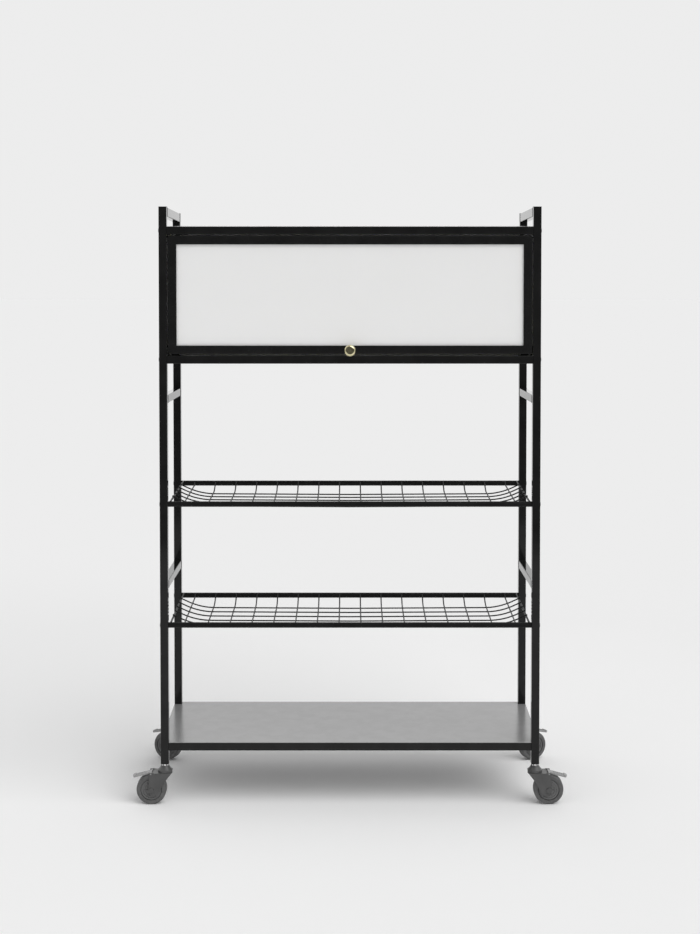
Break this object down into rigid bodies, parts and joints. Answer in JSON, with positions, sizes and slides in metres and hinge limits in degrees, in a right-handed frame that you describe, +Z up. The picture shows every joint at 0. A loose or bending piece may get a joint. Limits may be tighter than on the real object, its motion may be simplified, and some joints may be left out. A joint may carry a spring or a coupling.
{
  "type": "kitchen storage rack",
  "caption": "Tall narrow kitchen rack on braked swivel casters: cabinet with a flip-up frosted door, dished wire trays and a bottom shelf between square-tube posts.",
  "frame": {"origin": "on the floor, under the middle of the post frame's length and depth", "axes": "+X along the rack's length, +Y from the door towards the back, +Z up"},
  "size_m": [0.8726, 0.3215, 1.2],
  "materials": {
    "frame_coat": "satin black powder coat",
    "sheet_coat": "smooth dark grey coat",
    "wire_coat": "satin black powder coat",
    "door_coat": "satin black coat",
    "frosted_panel": "frosted",
    "brass": "polished",
    "zinc_steel": "bright zinc",
    "black_steel": "blackened",
    "black_plastic": "matte",
    "nylon": "matte",
    "caster_coat": "satin grey coat",
    "caster_plastic": "matte",
    "tyre_rubber": "matte",
    "pedal_plastic": "satin"
  },
  "bodies": {
    "rack": {"post_front_left": "frame_coat", "post_front_right": "frame_coat", "post_rear_left": "frame_coat", "post_rear_right": "frame_coat", "handle_rail_left": "frame_coat", "upper_brace_left": "frame_coat", "lower_brace_left": "frame_coat", "base_rail_left": "frame_coat", "handle_rail_right": "frame_coat", "upper_brace_right": "frame_coat", "lower_brace_right": "frame_coat", "base_rail_right": "frame_coat", "base_rail_front": "frame_coat", "cabinet_bottom_rail_front": "frame_coat", "cabinet_top_rail_front": "frame_coat", "base_rail_rear": "frame_coat", "cabinet_bottom_rail_rear": "frame_coat", "cabinet_top_rail_rear": "frame_coat", "rail_screws": "black_steel", "post_end_plugs": "black_plastic", "cabinet_top_sheet": "sheet_coat", "cabinet_floor_sheet": "sheet_coat", "cabinet_side_sheet_left": "sheet_coat", "cabinet_side_sheet_right": "sheet_coat", "cabinet_back_panel": "frosted_panel", "door_catches": "black_plastic", "hinge_bushes": "nylon", "bottom_shelf": "sheet_coat", "lower_tray_mesh": "wire_coat", "lower_tray_rail_front": "wire_coat", "lower_tray_rail_rear": "wire_coat", "upper_tray_mesh": "wire_coat", "upper_tray_rail_front": "wire_coat", "upper_tray_rail_rear": "wire_coat", "caster_stems": "caster_coat"},
    "door": {"door_frame": "door_coat", "door_panel": "frosted_panel", "door_knob": "brass", "knob_screw": "zinc_steel", "hinge_pins": "zinc_steel"},
    "swivel_front_left": {"fork_front_left": "caster_coat", "axle_front_left": "caster_coat"},
    "wheel_front_left": {"wheel_hub_front_left": "caster_plastic", "tyre_front_left": "tyre_rubber"},
    "pedal_front_left": {"brake_pedal_front_left": "pedal_plastic"},
    "swivel_front_right": {"fork_front_right": "caster_coat", "axle_front_right": "caster_coat"},
    "wheel_front_right": {"wheel_hub_front_right": "caster_plastic", "tyre_front_right": "tyre_rubber"},
    "pedal_front_right": {"brake_pedal_front_right": "pedal_plastic"},
    "swivel_rear_left": {"fork_rear_left": "caster_coat", "axle_rear_left": "caster_coat"},
    "wheel_rear_left": {"wheel_hub_rear_left": "caster_plastic", "tyre_rear_left": "tyre_rubber"},
    "pedal_rear_left": {"brake_pedal_rear_left": "pedal_plastic"},
    "swivel_rear_right": {"fork_rear_right": "caster_coat", "axle_rear_right": "caster_coat"},
    "wheel_rear_right": {"wheel_hub_rear_right": "caster_plastic", "tyre_rear_right": "tyre_rubber"},
    "pedal_rear_right": {"brake_pedal_rear_right": "pedal_plastic"}
  },
  "joints": [
    {"name": "door_hinge", "type": "hinge", "parent": "rack", "child": "door", "pos_m": [0, -0.129, 1.1338], "axis": [-1, 0, 0], "range_deg": [0, 90]},
    {"name": "caster_swivel_front_left", "type": "hinge", "parent": "rack", "child": "swivel_front_left", "pos_m": [-0.372, -0.127, 0.0645], "axis": [0, 0, 1], "continuous": true},
    {"name": "wheel_spin_front_left", "type": "hinge", "parent": "swivel_front_left", "child": "wheel_front_left", "pos_m": [-0.399, -0.127, 0.03], "axis": [0, -1, 0], "continuous": true},
    {"name": "brake_front_left", "type": "hinge", "parent": "swivel_front_left", "child": "pedal_front_left", "pos_m": [-0.39954, -0.127, 0.0628], "axis": [0, -1, 0], "range_deg": [-15, 5]},
    {"name": "caster_swivel_front_right", "type": "hinge", "parent": "rack", "child": "swivel_front_right", "pos_m": [0.372, -0.127, 0.0645], "axis": [0, 0, 1], "continuous": true},
    {"name": "wheel_spin_front_right", "type": "hinge", "parent": "swivel_front_right", "child": "wheel_front_right", "pos_m": [0.399, -0.127, 0.03], "axis": [0, 1, 0], "continuous": true},
    {"name": "brake_front_right", "type": "hinge", "parent": "swivel_front_right", "child": "pedal_front_right", "pos_m": [0.39954, -0.127, 0.0628], "axis": [0, 1, 0], "range_deg": [-15, 5]},
    {"name": "caster_swivel_rear_left", "type": "hinge", "parent": "rack", "child": "swivel_rear_left", "pos_m": [-0.372, 0.127, 0.0645], "axis": [0, 0, 1], "continuous": true},
    {"name": "wheel_spin_rear_left", "type": "hinge", "parent": "swivel_rear_left", "child": "wheel_rear_left", "pos_m": [-0.39627, 0.13884, 0.03], "axis": [-0.4384, -0.8988, 0], "continuous": true},
    {"name": "brake_rear_left", "type": "hinge", "parent": "swivel_rear_left", "child": "pedal_rear_left", "pos_m": [-0.39675, 0.13907, 0.0628], "axis": [-0.4384, -0.8988, 0], "range_deg": [-15, 5]},
    {"name": "caster_swivel_rear_right", "type": "hinge", "parent": "rack", "child": "swivel_rear_right", "pos_m": [0.372, 0.127, 0.0645], "axis": [0, 0, 1], "continuous": true},
    {"name": "wheel_spin_rear_right", "type": "hinge", "parent": "swivel_rear_right", "child": "wheel_rear_right", "pos_m": [0.39627, 0.13884, 0.03], "axis": [-0.4384, 0.8988, 0], "continuous": true},
    {"name": "brake_rear_right", "type": "hinge", "parent": "swivel_rear_right", "child": "pedal_rear_right", "pos_m": [0.39675, 0.13907, 0.0628], "axis": [-0.4384, 0.8988, 0], "range_deg": [-15, 5]}
  ]
}
